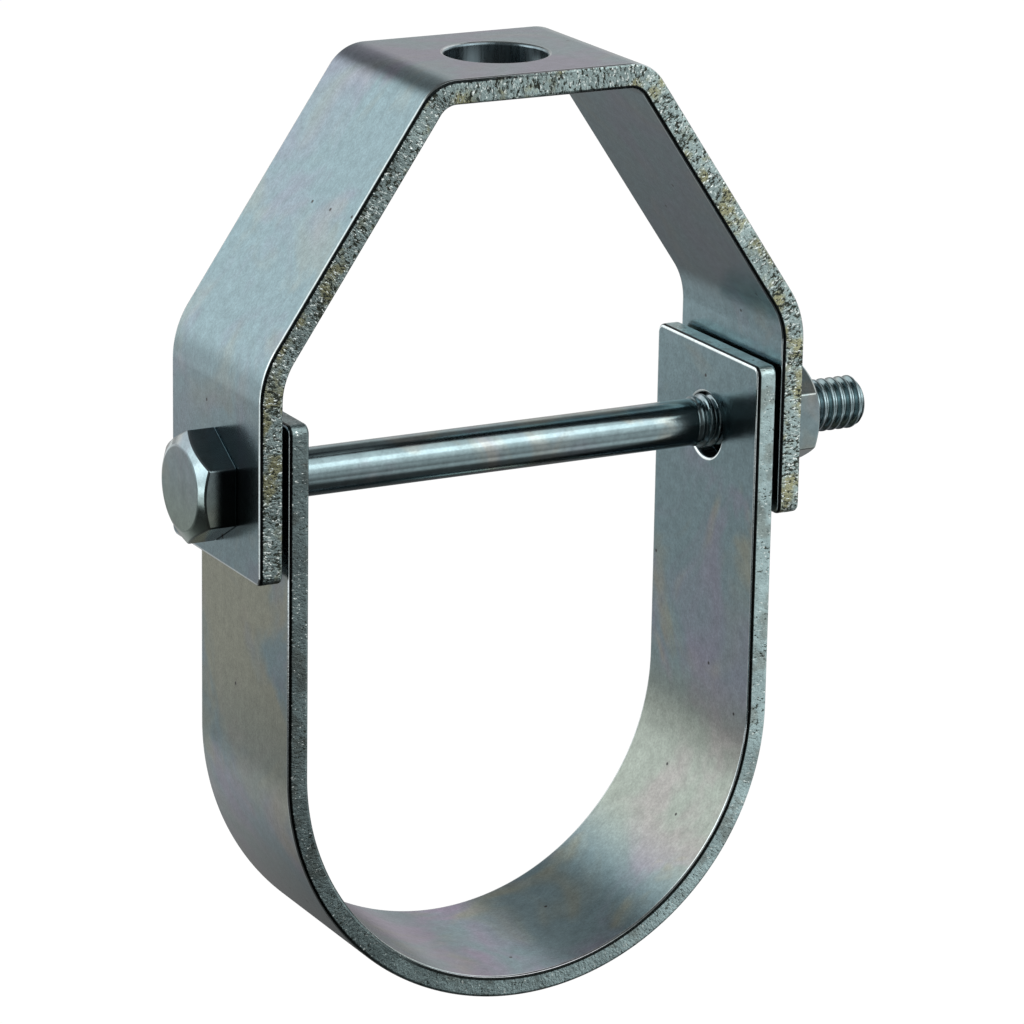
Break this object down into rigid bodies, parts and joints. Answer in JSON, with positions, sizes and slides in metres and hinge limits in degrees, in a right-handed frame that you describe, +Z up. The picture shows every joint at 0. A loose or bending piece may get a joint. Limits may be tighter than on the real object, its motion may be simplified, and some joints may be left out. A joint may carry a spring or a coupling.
{
  "type": "clevis pipe hanger",
  "caption": "Bent strap yoke with a rod hole, a U-shaped strap cradle that swings on a cross bolt, and a hex nut, to hang a pipe from a threaded rod.",
  "frame": {"origin": "centre of the rod hole on the top face of the yoke", "axes": "+Z up along the hanger rod, +X along the cross bolt towards its nut, +Y along the pipe"},
  "size_m": [0.1189, 0.0318, 0.1476],
  "materials": {
    "zinc_strap": "bright zinc plate on rolled flat bar, with rough sheared edges",
    "zinc_fastener": "bright zinc plate on a cold-headed bolt and nut, smooth and glossy"
  },
  "bodies": {
    "yoke": {"upper_yoke": "zinc_strap", "cross_bolt": "zinc_fastener", "hex_nut": "zinc_fastener"},
    "cradle": {"lower_strap": "zinc_strap"}
  },
  "joints": [
    {"name": "cradle_swing", "type": "hinge", "parent": "yoke", "child": "cradle", "pos_m": [0, 0, -0.0624], "axis": [1, 0, 0], "range_deg": [-90, 90]}
  ]
}
